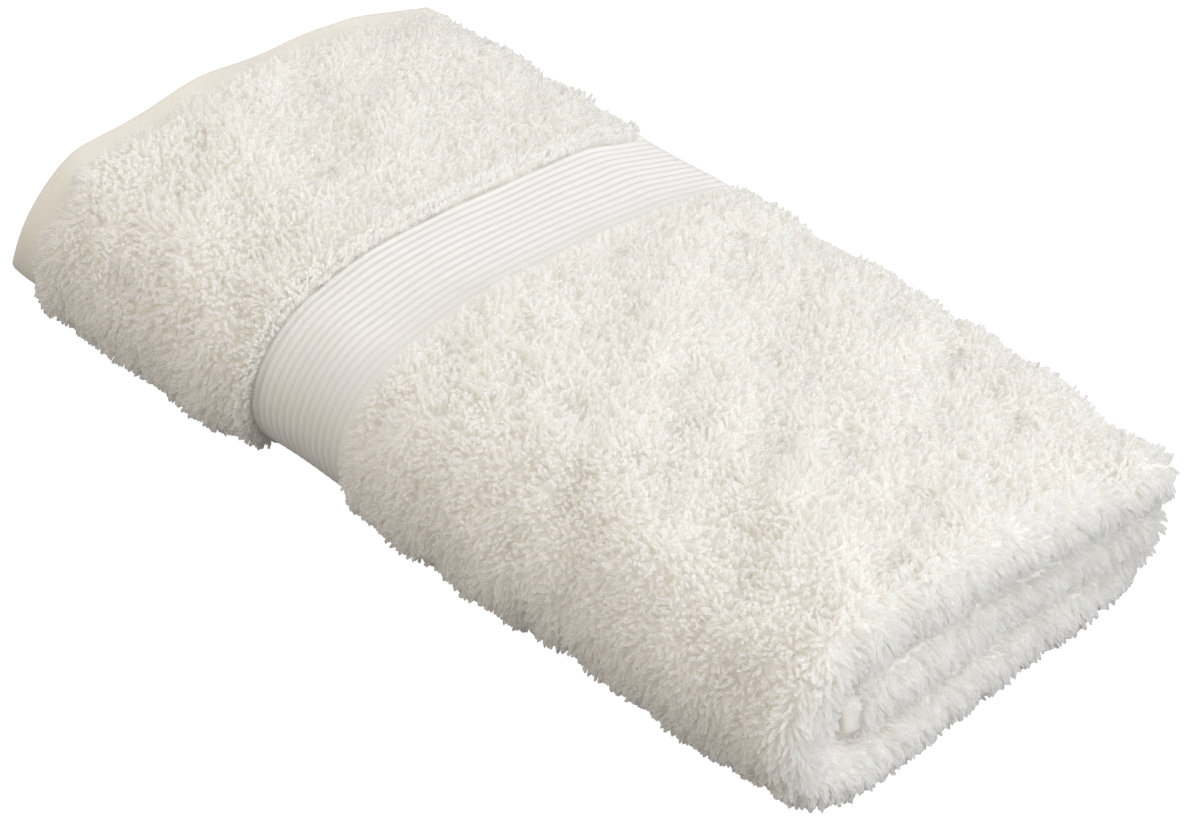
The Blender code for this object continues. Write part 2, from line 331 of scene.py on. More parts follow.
def ground_height(place, ribbed):
    """Surface of the ground weave over its middle, at places measured from a hem."""
    to_edge = np.where(place < PILE_END, place - HEM_WIDTH, place - BORDER_END)
    to_border = np.sqrt(soft_step(PILE_END - place, -PILE_FOOT_RUN, PILE_EDGE))
    rise = np.sqrt(soft_step(to_edge, -PILE_FOOT_RUN, PILE_SHOULDER))
    rise = rise * np.where(place < PILE_END, to_border, 1.0)
    height = BORDER_HALF + (PILE_HEIGHT - GROUND_DROP - BORDER_HALF) * rise
    hem = HEM_HALF - (HEM_HALF - EDGE_HALF) * (1 - soft_step(place, 0.0, HEM_EDGE_RUN))
    height = np.where(place <= HEM_WIDTH, hem, height)
    phase = (place - RIBS_START) / RIB_PITCH
    groove = np.abs(np.cos(math.pi * phase)) ** RIB_FLATNESS
    in_ribs = (place > RIBS_START) & (place < RIBS_END)
    rib = RIB_HEIGHT * np.where(in_ribs & ribbed, 1 - groove, FLAT_BORDER_SHARE)
    in_border = (place >= PILE_END) & (place <= BORDER_END)
    return np.where(in_border, BORDER_HALF + rib, height)


def cloth_ring():
    """Points round the outline of the doubled cloth, seen along Y, as arrays by name.

    sheet 0 is the upper sheet, 1 the turn round the lengthwise fold and 2 the under sheet. Side
    is +1 outside and -1 in the slit. Place is measured from the sheet's hem, or is an angle.
    """
    fine = flat_places(FINE_STEP, RIB_CUTS)
    coarse = flat_places(COARSE_STEP, 1)
    inside = flat_places(INSIDE_STEP, 1)
    last = STRAIGHT_UPPER - HEM_STAGGER
    parts = (
        (np.append(fine, [last + HEM_STAGGER / 2, STRAIGHT_UPPER]), 0, 1, True),
        (np.linspace(0.0, math.pi, TURN_STEPS + 1)[1:-1], 1, 1, False),
        (coarse[::-1], 2, 1, False),
        (inside, 2, -1, False),
        ([math.pi / 2], 1, -1, False),
        (np.append(inside, STRAIGHT_UPPER)[::-1], 0, -1, False),
    )
    places, sheets, sides, ribs = zip(*parts)
    counts = [len(part) for part in places]
    place = np.concatenate(places)
    sheet, side, ribbed = (np.repeat(values, counts) for values in (sheets, sides, ribs))
    height = np.where(sheet == 1, PILE_HEIGHT - GROUND_DROP, ground_height(place, ribbed))
    return {"sheet": sheet, "side": side, "place": place, "height": height}


def along_cut(ring):
    """Distance from the upper hem along the cut cloth, up to the under sheet's hem."""
    place = ring["place"]
    cut = np.where(ring["sheet"] == 0, place, FLAT_LENGTH - place)
    return np.where(ring["sheet"] == 1, STRAIGHT_UPPER + SHEET_OFFSET * place, cut)


def lengthwise(ring, height):
    """Distance from the upper hem and offset from the middle of the doubled cloth."""
    reach = SHEET_OFFSET + ring["side"] * height
    turn = ring["sheet"] == 1
    angle = np.where(turn, ring["place"], 0.0)
    x = np.where(ring["sheet"] == 0, ring["place"], ring["place"] + HEM_STAGGER)
    x = np.where(turn, STRAIGHT_UPPER + reach * np.sin(angle), x)
    offset = np.where(ring["sheet"] == 0, reach, -reach)
    return x, np.where(turn, reach * np.cos(angle), offset)


def crossing(run, share, along):
    """Centre (y, z), outward normal (y, z) and selvage distance at a share of one run."""
    back = smooth_value(SECTIONS, "along", "back_crease", along)
    inner = smooth_value(SECTIONS, "along", "inner_edge", along)
    droop = np.radians(smooth_value(SECTIONS, "along", "droop", along))
    back_level = (LEVEL_BOTTOM + LEVEL_MIDDLE) / 2
    bend = LEVEL_TOP - back_level
    used = (back - inner) + (back - FRONT_CENTRE) * 2 + droop * bend
    used = used + math.pi * (LAYER_STEP / 2 + LAYER_STEP)
    tail = FLAT_WIDTH - used
    flat = np.zeros_like(along)
    if run == "middle":
        y = inner + (back - inner) * share
        return y, flat + LEVEL_MIDDLE, flat, flat + 1, y - inner
    if run == "back_fold":
        turn = math.pi / 2 - math.pi * share
        ny, nz = flat + math.cos(turn), flat + math.sin(turn)
        return back + ny * LAYER_STEP / 2, back_level + nz * LAYER_STEP / 2, ny, nz, flat + 1
    if run == "bottom":
        y = back + (FRONT_CENTRE - back) * share
        return y, flat + LEVEL_BOTTOM, flat, flat - 1, flat + 1
    if run == "front_fold":
        turn = -math.pi / 2 - math.pi * share
        ny, nz = flat + math.cos(turn), flat + math.sin(turn)
        return FRONT_CENTRE + ny * LAYER_STEP, LEVEL_MIDDLE + nz * LAYER_STEP, ny, nz, flat + 1
    if run == "top":
        y = FRONT_CENTRE + (back - FRONT_CENTRE) * share
        return y, flat + LEVEL_TOP, flat, flat + 1, flat + 1
    if run == "bend":
        turn = math.pi / 2 - droop * share
        ny, nz = np.cos(turn), np.sin(turn)
        return back + ny * bend, back_level + nz * bend, ny, nz, tail
    ny, nz = np.sin(droop), np.cos(droop)
    y = back + ny * bend + nz * tail * share
    z = back_level + nz * bend - ny * tail * share
    return y, z, ny, nz, tail * (1 - share)


def settle(x, y, z):
    """Crown, sag and slack of the whole stack, which leave the underside flat on the table."""
    share = smooth_value(CROWN, "across", "share", y)
    side = y / CROWN[-1]["across"]
    front = smooth_value(SECTIONS, "along", "front", x)
    back = smooth_value(SECTIONS, "along", "back", x)
    height = z / (LEVEL_TOP + DOUBLE_HALF)
    near = np.maximum(0.0, 1 - (STRAIGHT_UPPER + DOUBLE_HALF - x) / END_RUN) ** 2
    far = np.maximum(0.0, 1 - x / END_RUN) ** 2
    shift = -HEM_EAR * far * np.exp(-(y / EAR_RUN) ** 2)
    beside = np.exp(-np.abs(z - POINT_HEIGHT) / POINT_RUN - (y / EAR_RUN) ** 2)
    shift = shift - HEM_POINT * far ** 2 * beside
    low, high = ENDS
    for end, reach in (("far", far), ("near", near)):
        corners = (end + "_front", end + "_back")
        at_front, at_back = (low[at] + (high[at] - low[at]) * height for at in corners)
        shift = shift + reach * (at_front + (at_back - at_front) * side)
    lift = 0.0
    sway = 0.0
    slack = BORDER_SLACK + (1 - BORDER_SLACK) * off_border(x)
    for wave in WAVES:
        angle = 2 * math.pi * (x / wave["length_x"] + y / wave["length_y"] + wave["phase"])
        lift = lift + wave["height"] * np.sin(angle) * slack
        sway = sway + wave["sway"] * np.cos(angle) * slack
    moved_y = y + front * (1 - side) + back * side + sway - CENTRE_Y
    return np.stack((x + shift - CENTRE_X, moved_y, z * share * (1 + lift)), axis=-1)


def section_points(ring, run, share, height):
    """Every point of the ring, with its surface at a height, carried to one section."""
    along = lengthwise(ring, height)[0]
    y, z, ny, nz, to_selvage = crossing(run, share, along)
    edge = np.clip(to_selvage / SELVAGE_RUN, 0.0, 1.0)
    thinned = height * (SELVAGE_THINNING + (1 - SELVAGE_THINNING) * np.sqrt(edge * (2 - edge)))
    x, offset = lengthwise(ring, np.minimum(height, np.maximum(thinned, EDGE_HALF)))
    return settle(x, y + ny * offset, z + nz * offset)


def crease_depth(cut, across):
    """How far the troughs and ridges lower the cloth at a place on the cut."""
    depth = 0.0
    for crease in CREASES:
        turn = math.radians(crease["turn"])
        du = cut - crease["along"]
        dv = across - crease["across"]
        lengthways = dv * math.cos(turn) + du * math.sin(turn)
        sideways = du * math.cos(turn) - dv * math.sin(turn)
        bowl = np.exp(-(lengthways / crease["length"]) ** 2 - (sideways / crease["width"]) ** 2)
        depth = depth + crease["depth"] * bowl
    return depth


# Sections as (run, share), from the middle layer's selvage to the top layer's
sections = []
for row in RUNS:
    shares = list(np.arange(row["steps"]) / row["steps"]) + list(row["selvage"])
    sections += [(row["run"], share) for share in sorted(shares)]
sections.append(("tail", 1.0))

ring = cloth_ring()
cut_place = along_cut(ring)
from_end = np.minimum(cut_place, FLAT_LENGTH - cut_place)
in_pile = ((from_end > HEM_WIDTH) & (from_end < PILE_END)) | (from_end > BORDER_END)
full_height = np.where(in_pile, PILE_HEIGHT, ring["height"])
cloth_points = []
for run, share in sections:
    full = section_points(ring, run, share, full_height)
    ground = section_points(ring, run, share, ring["height"])
    raised = soft_step(full[:, 2:], 0.0, PRESSED_UNDER)
    cloth_points.append(full + (ground - full) * raised)
cloth_points = np.array(cloth_points)

# Where each section lies on the flat cloth, along a line a quarter of the way round the ring
line = cloth_points[:, len(ring["place"]) // 4]
steps = np.linalg.norm(np.diff(line, axis=0), axis=1)
across_place = np.concatenate(([0.0], np.cumsum(steps)))
across_place *= FLAT_WIDTH / across_place[-1]
from_side = np.minimum(across_place, FLAT_WIDTH - across_place)


def unit(directions):
    """Directions of length 1."""
    return directions / np.maximum(np.linalg.norm(directions, axis=2, keepdims=True), NO_LENGTH)


def grid_normals(points):
    """Outward normals and the direction away from the upper hem, on the lofted grid."""
    round_ring = np.roll(points, -1, axis=1) - np.roll(points, 1, axis=1)
    normals = np.cross(np.gradient(points, axis=0), round_ring)
    return unit(normals), unit(round_ring)


cloth_normals, cloth_onward = grid_normals(cloth_points)
lumps = np.zeros(cloth_points.shape[:2])
for i in range(len(sections)):
    for j in np.nonzero(in_pile & (ring["side"] == 1))[0]:
        for lump in LUMPS:
            folded = abs(noise.noise(Vector(cloth_points[i, j]) / lump["size"])) - LUMP_MIDDLE
            lumps[i, j] += folded * lump["height"]
creased = crease_depth(cut_place[None, :], across_place[:, None]) * (ring["side"] == 1)
creased = creased * off_border(cut_place)
lumps = lumps * off_border(cut_place)
raised = soft_step(cloth_points[:, :, 2], 0.0, PRESSED_UNDER)
cloth_points = cloth_points + cloth_normals * ((lumps - creased) * raised)[:, :, None]


def end_faces(outer, inner, points, flip):
    """Triangles that close the cloth at one selvage."""
    faces = []
    i = 0
    j = 0
    while i < len(outer) - 1 or j < len(inner) - 1:
        take_outer = i < len(outer) - 1
        if take_outer and j < len(inner) - 1:
            reach_outer = np.linalg.norm(points[outer[i + 1]] - points[inner[j]])
            reach_inner = np.linalg.norm(points[inner[j + 1]] - points[outer[i]])
            take_outer = reach_outer <= reach_inner
        if take_outer:
            face = (outer[i], outer[i + 1], inner[j])
            i += 1
        else:
            face = (outer[i], inner[j + 1], inner[j])
            j += 1
        faces.append(face[::-1] if flip else face)
    return faces


ring_size = len(ring["place"])
section_count = len(sections)
flat_points = cloth_points.reshape(-1, 3)
outside_count = int((ring["side"] == 1).sum())
here = np.arange(section_count * ring_size).reshape(section_count, ring_size)
onward = np.roll(here, -1, axis=1)
grid_faces = np.stack((here[:-1], onward[:-1], onward[1:], here[1:]), axis=-1)
cloth_faces = grid_faces.reshape(-1, 4).tolist()
for start, flip in ((0, True), ((section_count - 1) * ring_size, False)):
    outer_ring = range(start, start + outside_count)
    inner_ring = range(start + outside_count, start + ring_size)[::-1]
    cloth_faces += end_faces(outer_ring, inner_ring, flat_points, flip)

WEAVE_PITCH = 0.00062       # between neighbouring threads of the hem and the border
WEAVE_DEPTH = 0.00012
# Painted shade: the ground between the loops is darker and warmer than the yarn, and darker still in
# the hollows of its fibres.
TUFTED_SHADE = (0.93, 0.895, 0.845, 1.0)
TUFTED_LIGHT = (0.975, 0.958, 0.93, 1.0)
# Painted shade: the border's narrow grooves and the low threads of its weave take the darker colour.
BORDER_SHADE = (0.87, 0.832, 0.788, 1.0)
BORDER_LIGHT = (0.93, 0.904, 0.868, 1.0)
GROOVE_SHADE_NARROWNESS = 6.0
TICK_MIDDLE = 0.6           # mean height of the weave, about which its ticks lay painted shade and light on the ribs
TICK_SHADING = 0.35
# The hem's cream is its own colour; the darker one is painted shade on the low threads of its weave.
HEM_SHADE = (0.91, 0.855, 0.76, 1.0)
HEM_LIGHT = (0.95, 0.91, 0.83, 1.0)
FIBRE_FINENESS = 900.0      # fibres to a metre in the ground between the loops
FIBRE_DETAIL = 2.0
FIBRE_DEPTH = 0.0008
PATCH_DETAIL = 3.0
COTTON_ROUGHNESS = 0.9
COTTON_GLOSS = 0.2
COTTON_SHEEN = 0.2
SHEEN_ROUGHNESS = 0.6
CLOTH_PLACE = "cloth_place"
SELVAGE_STRIP = 0.005       # plain weave this far in from a selvage
TUFTED, RIBBED, PLAIN = range(3)    # the cloth's materials, in the order of cloth_materials


def sums(tree, operation, first, second=0.0):
    """One step of arithmetic on numbers."""
    return result(node(tree, "ShaderNodeMath", {0: first, 1: second}, operation=operation))


def times(tree, first, second):
    """The product of two numbers."""
    return sums(tree, "MULTIPLY", first, second)


def vectors(tree, operation, first, second=(0.0, 0.0, 0.0)):
    """One step of arithmetic on vectors."""
    return result(node(tree, "ShaderNodeVectorMath", {0: first, 1: second}, operation=operation))


def scaled(tree, vector, factor):
    """A vector times a number."""
    made = node(tree, "ShaderNodeVectorMath", {0: vector, "Scale": factor}, operation="SCALE")
    return result(made)


def attribute(tree, name, output):
    """A value that the mesh carries."""
    return node(tree, "ShaderNodeAttribute", {}, attribute_name=name).outputs[output]


def group_tree(name, inputs, outputs, kind="ShaderNodeTree"):
    """An empty node group with named inputs and outputs, some with their usual values."""
    tree = bpy.data.node_groups.new(name, kind)
    for in_out, rows in (("INPUT", inputs), ("OUTPUT", outputs)):
        for label, socket_kind, *usual in rows:
            kinds = {"in_out": in_out, "socket_type": "NodeSocket" + socket_kind}
            socket = tree.interface.new_socket(name=label, **kinds)
            if usual:
                socket.default_value = usual[0]
    return tree, node(tree, "NodeGroupInput").outputs


def soft_noise(tree, scale, detail):
    """Soft noise that runs all through an object."""
    place = node(tree, "ShaderNodeTexCoord").outputs["Object"]
    inputs = {"Vector": place, "Scale": scale, "Detail": detail}
    return node(tree, "ShaderNodeTexNoise", inputs).outputs["Fac"]


def tone_and_painted_shade_group():
    """Colour of undyed white cotton, a little uneven, with painted shade that makes it darker and
    warmer deep down.
    """
    tree, given = group_tree("tone_and_painted_shade", (
        ("Shade", "Color", TUFTED_SHADE),
        ("Light", "Color", TUFTED_LIGHT),
        ("Raised", "Float", 1.0),
        ("Unevenness", "Float", 0.2),
        ("Patch Size", "Float", 0.012),
    ), (("Colour", "Color"),))
    patches = soft_noise(tree, sums(tree, "DIVIDE", 1.0, given["Patch Size"]), PATCH_DETAIL)
    patches = times(tree, sums(tree, "SUBTRACT", patches, 0.5), given["Unevenness"])
    # Painted shade: low places take the Shade colour and raised ones the Light colour; the patches are
    # the cotton's own uneven tone.
    raised = sums(tree, "ADD", given["Raised"], patches)
    tones = {"Factor": raised, "A": given["Shade"], "B": given["Light"]}
    mixed = node(tree, "ShaderNodeMix", tones, data_type="RGBA", clamp_factor=True)
    node(tree, "NodeGroupOutput", {"Colour": result(mixed)})
    return tree


def woven_threads_group():
    """Fine plain weave: threads that pass over and under each other, as height and normal."""
    tree, given = group_tree("woven_threads", (
        ("Place", "Vector", (0.0, 0.0, 0.0)),
        ("Pitch Along", "Float", WEAVE_PITCH),
        ("Pitch Across", "Float", WEAVE_PITCH),
        ("Depth", "Float", WEAVE_DEPTH),
    ), (("Height", "Float"), ("Normal", "Vector")))
    parts = node(tree, "ShaderNodeSeparateXYZ", {"Vector": given["Place"]}).outputs
    waves = []
    for axis, pitch in (("X", "Pitch Along"), ("Y", "Pitch Across")):
        threads = sums(tree, "DIVIDE", parts[axis], given[pitch])
        waves.append(sums(tree, "SINE", times(tree, threads, math.pi)))
    over = sums(tree, "GREATER_THAN", times(tree, *waves), 0.0)
    along, across = (sums(tree, "ABSOLUTE", wave) for wave in waves)
    crests = {"Factor": over, "A": along, "B": across}
    height = result(node(tree, "ShaderNodeMix", crests, data_type="FLOAT"))
    raised = node(tree, "ShaderNodeBump", {"Height": height, "Distance": given["Depth"]})
    node(tree, "NodeGroupOutput", {"Height": height, "Normal": result(raised)})
    return tree


def cotton_material(name, shade, light, relief, sheen=COTTON_SHEEN, through=0.0):
    """Matte cotton on the shared group of tone and painted shade.

    relief is a function that adds nodes and returns sockets for a height, whose low places take the
    painted shade, and for a normal, and through is the share of the light that shines through the
    cotton.
    """
    material = bpy.data.materials.new(name)
    material.use_nodes = True
    tree = material.node_tree
    shader = tree.nodes["Principled BSDF"]
    shader.inputs["Roughness"].default_value = COTTON_ROUGHNESS
    shader.inputs["Specular IOR Level"].default_value = COTTON_GLOSS
    shader.inputs["Sheen Weight"].default_value = sheen
    shader.inputs["Sheen Roughness"].default_value = SHEEN_ROUGHNESS
    raised, normal = relief(tree)
    # The relief's height lays the painted shade in its low places.
    tones = {"Shade": shade, "Light": light, "Raised": raised}
    tone = node(tree, "ShaderNodeGroup", tones, node_tree=tone_and_painted_shade)
    tree.links.new(tone.outputs["Colour"], shader.inputs["Base Color"])
    if normal:
        tree.links.new(normal, shader.inputs["Normal"])
    if through:
        glow = node(tree, "ShaderNodeBsdfTranslucent", {"Color": tone.outputs["Colour"]})
        both = {0: through, 1: result(shader), 2: result(glow)}
        mixed = node(tree, "ShaderNodeMixShader", both)
        tree.links.new(result(mixed), tree.nodes["Material Output"].inputs["Surface"])
    return material


def plain_weave(tree):
    """The fine weave at this place of the cloth; its height also lays painted shade on the low threads.
    """
    place = {"Place": attribute(tree, CLOTH_PLACE, "Vector")}
    made = node(tree, "ShaderNodeGroup", place, node_tree=woven_threads)
    return made.outputs["Height"], made.outputs["Normal"]


def ribbed_weave(tree):
    """The same weave, with a tone high on the border's crests and low in its narrow grooves: painted
    shade in the grooves and on the weave's low threads.
    """
    height, normal = plain_weave(tree)
    place = attribute(tree, CLOTH_PLACE, "Vector")
    along = node(tree, "ShaderNodeSeparateXYZ", {"Vector": place}).outputs["X"]
    from_start = sums(tree, "SUBTRACT", along, RIBS_START)
    wave = sums(tree, "COSINE", times(tree, from_start, math.pi / RIB_PITCH))
    # The groove mask lays painted shade in the grooves.
    groove = sums(tree, "POWER", sums(tree, "ABSOLUTE", wave), GROOVE_SHADE_NARROWNESS)
    past_first = sums(tree, "GREATER_THAN", along, RIBS_START - RIB_PITCH / 4)
    before_last = sums(tree, "LESS_THAN", along, RIBS_END + RIB_PITCH / 4)
    groove = times(tree, groove, times(tree, past_first, before_last))
    tick_shading = times(tree, sums(tree, "SUBTRACT", height, TICK_MIDDLE), TICK_SHADING)
    return sums(tree, "ADD", sums(tree, "SUBTRACT", 1.0, groove), tick_shading), normal


def ground_fibres(tree):
    """Rough short fibres of the ground between the loops; their height also lays painted shade in their
    hollows.
    """
    fibres = soft_noise(tree, FIBRE_FINENESS, FIBRE_DETAIL)
    relief = {"Height": fibres, "Distance": FIBRE_DEPTH}
    return fibres, result(node(tree, "ShaderNodeBump", relief))


tone_and_painted_shade = tone_and_painted_shade_group()
woven_threads = woven_threads_group()
cloth_materials = (
    cotton_material("tufted_ground", TUFTED_SHADE, TUFTED_LIGHT, ground_fibres),
    cotton_material("ribbed_border", BORDER_SHADE, BORDER_LIGHT, ribbed_weave),
    cotton_material("plain_hem", HEM_SHADE, HEM_LIGHT, plain_weave),
)
cloth_mesh = bpy.data.meshes.new("towel_cloth")
cloth_mesh.from_pydata(flat_points.tolist(), [], cloth_faces)
for material in cloth_materials:
    cloth_mesh.materials.append(material)


def face_means(values):
    """The mean of a value over each face's corners."""
    return np.array([values[list(face)].mean() for face in cloth_faces])


face_end = face_means(np.tile(from_end, section_count))
face_selvage = face_means(np.repeat(from_side, ring_size))
weave_kinds = np.where((face_end < HEM_WIDTH) | (face_selvage < SELVAGE_STRIP), PLAIN, TUFTED)
weave_kinds = np.where((face_end > PILE_END) & (face_end < BORDER_END), RIBBED, weave_kinds)
cloth_mesh.polygons.foreach_set("material_index", weave_kinds.astype(np.int32))
place_values = np.zeros((section_count, ring_size, 3))
place_values[:, :, 0] = cut_place
place_values[:, :, 1] = across_place[:, None]
placed = cloth_mesh.attributes.new(CLOTH_PLACE, "FLOAT_VECTOR", "POINT")
placed.data.foreach_set("vector", place_values.astype(np.float32).ravel())
cloth_mesh.polygons.foreach_set("use_smooth", [True] * len(cloth_mesh.polygons))
towel_cloth = add_object("towel_cloth", cloth_mesh)

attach(towel_cloth, "root")
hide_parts("towel")

# Pile
# Loops of soft, slightly twisted cotton yarn that stand on both faces of the cloth. Washing has
# drawn them into tufts that lean every way. They are woven in with the ground, and stop at the
# hems, the borders and the selvages.

LOOP_LENGTH = 0.0045        # ground weave to tip, along the loop
LOOP_UNEVEN = (0.82, 1.16)  # shortest and longest loop, as shares of that
LOOP_HALF = 0.00078         # half the thickness of a loop's twisted legs
LOOP_FLATNESS = 0.78
LOOP_TWIST = math.radians(70)
LOOP_SIDES = 5
SPACING = 0.00134           # least distance between two loops
TUFT_SIZE = 0.0085          # distance between the middles of neighbouring tufts
NAP = 0.22                  # how far the pile leans away from the upper hem
COMB = 0.25                 # how much more it does along the border's hem side
COMB_RUN = 0.005
WALL_COMB = 1.5             # how far loops at the pile's foot along the border lean up again
HEM_COMB = 0.10             # how far it leans along a hem
PAST_COMB = 0.15            # how much more it leans past the border
VALLEY_NAP = 0.55           # how far it leans out of the valleys between the layers
EDGE_ROW = 0.0045           # width of the crowded row of loops along the border
VALLEY_STRIP = 0.014        # pile shows this far into the valleys between the folded layers
VALLEY_PILE = 0.8           # share of its loops that a valley has
SELVAGE_BARE = 0.004
BARE_BESIDE = 0.006         # so near to the border and so low, no loops stick out
BARE_BELOW = 0.009
PRESSED_NAP = (0.003, 0.012)    # the nap dies out between these heights over the table
TABLE_CLEARANCE = 0.0002

# How much longer or shorter loops are in places, as shares of their length
BEFORE_REACH = 0.15
ROW_REACH = -0.35
PAST_REACH = -0.35
HEM_REACH = -0.30
SELVAGE_REACH = 0.55        # share of their length that loops keep at a selvage,
LOW_REACH = 0.55            # where they meet the table,
END_LOW_REACH = 0.85        # where ragged tufts meet it at the near end,
VALLEY_REACH = 0.5          # and in the valleys between layers
LOW_RUN = 0.022             # height over the table at which they have their whole length
LOOP_RISE = "rise"
TONE_SPREAD = 0.3           # how much loops differ in tone
TRIED_PLACES = 4.0          # places tried for a loop in each square of the spacing
LEAST_BEND = 0.1            # share of the most bend that the straightest loop has
MEAN_COLOUR = (0.5, 0.5, 0.5)

# aside, thick, rise: places on one loop, as shares of its half thickness and its length
LOOP_PLACES = table(("aside", "thick", "rise"), (
    (0.0, 0.85, -0.18),
    (0.2, 1.00, 0.42),
    (-0.1, 0.82, 0.86),
))

# runs: parts of the path across the cloth; start and end: along the cut cloth; spacing and
# length: shares of the sizes above; droop: how far the loops hang down; unruly: share of the
# pile's tangle
OVER = ("top", "bend", "tail")
FOLDS = ("front_fold", "back_fold")
FOLD_START = 0.344          # along the cut cloth, where the near end begins to turn
PILES = table(("name", "runs", "start", "end", "spacing", "length", "droop", "unruly", "seed"), (
    ("pile_border_edge", ("front_fold",) + OVER, PILE_END - EDGE_ROW, 0.12, 0.72, 1.2, 0.0, 0.55, 18),
    ("pile_far_top", OVER, 0.0, 0.12, 1.0, 1.0, 0.0, 1.0, 11),
    ("pile_far_front", ("front_fold",), 0.0, 0.12, 1.0, 1.0, 0.25, 1.0, 12),
    ("pile_main_top", OVER, 0.12, 0.252, 1.0, 1.0, 0.0, 1.0, 13),
    ("pile_near_top", OVER, 0.252, FOLD_START, 1.0, 1.0, 0.0, 1.0, 14),
    ("pile_main_front", ("front_fold",), 0.12, FOLD_START, 1.0, 1.0, 0.25, 1.0, 15),
    ("pile_back", ("back_fold",), 0.0, FOLD_START, 1.5, 1.1, 0.25, 1.0, 16),
    ("pile_near_end", OVER + FOLDS + ("middle", "bottom"), FOLD_START, 0.372, 1.0, 1.15, 0.6, 0.75, 17),
))


def loop_mesh():
    """One loop of yarn standing on the origin: its legs twisted into one strand with a tip."""
    points = []
    for row in LOOP_PLACES:
        twist = LOOP_TWIST * row["rise"]
        for k in range(LOOP_SIDES):
            angle = 2 * math.pi * k / LOOP_SIDES
            wide = math.cos(angle) * LOOP_HALF * row["thick"]
            thin = math.sin(angle) * LOOP_HALF * row["thick"] * LOOP_FLATNESS
            x = wide * math.cos(twist) - thin * math.sin(twist) + row["aside"] * LOOP_HALF
            y = wide * math.sin(twist) + thin * math.cos(twist)
            points.append((x, y, row["rise"] * LOOP_LENGTH))
    points.append((0.0, 0.0, LOOP_LENGTH))
    top = len(points) - 1
    faces = [tuple(range(LOOP_SIDES))[::-1]]
    for i in range(len(LOOP_PLACES)):
        for k in range(LOOP_SIDES):
            here = i * LOOP_SIDES + k
            side = i * LOOP_SIDES + (k + 1) % LOOP_SIDES
            round_tip = i == len(LOOP_PLACES) - 1
            above = (top,) if round_tip else (side + LOOP_SIDES, here + LOOP_SIDES)
            faces.append((here, side) + above)
    mesh = bpy.data.meshes.new("loop")
    mesh.from_pydata(points, [], faces)
    return mesh


def stored(tree, geometry, name, value):
    """The geometry with a named value kept on its points."""
    kind = "FLOAT_VECTOR" if value.type == "VECTOR" else "FLOAT"
    inputs = {"Geometry": geometry, "Name": name, "Value": value}
    made = node(tree, "GeometryNodeStoreNamedAttribute", inputs, data_type=kind, domain="POINT")
    return result(made)


def kept(tree, name, kind="FLOAT"):
    """A named value that was kept on the points."""
    return result(node(tree, "GeometryNodeInputNamedAttribute", {"Name": name}, data_type=kind))


def random_value(tree, low, high, seed, draw, kind="FLOAT"):
    """A random number or vector for each point, another one for each draw."""
    inputs = {"Min": low, "Max": high, "Seed": sums(tree, "ADD", seed, draw)}
    return result(node(tree, "FunctionNodeRandomValue", inputs, data_type=kind))


# name, kind, usual value
PILE_INPUTS = (
    ("Ground", "Geometry"),
    ("Loop", "Object"),
    ("Yarn", "Material"),
    ("Spacing", "Float", SPACING),
    ("Loop Length", "Float", LOOP_LENGTH),
    ("Length Share", "Float", 1.0),
    ("Tuft Size", "Float", TUFT_SIZE),
    ("Tuft Pull", "Float", 0.20),
    ("Tuft Lean", "Float", 0.35),
    ("Sweep Size", "Float", 0.009),
    ("Sweep", "Float", 1.6),
    ("Loose", "Float", 0.38),
    ("Droop", "Float", 0.0),
    ("Unruly", "Float", 1.0),
    ("Most Bend", "Float", 1.6),
    ("Bend At Foot", "Float", 0.38),
    ("Seed", "Int", 0),
)


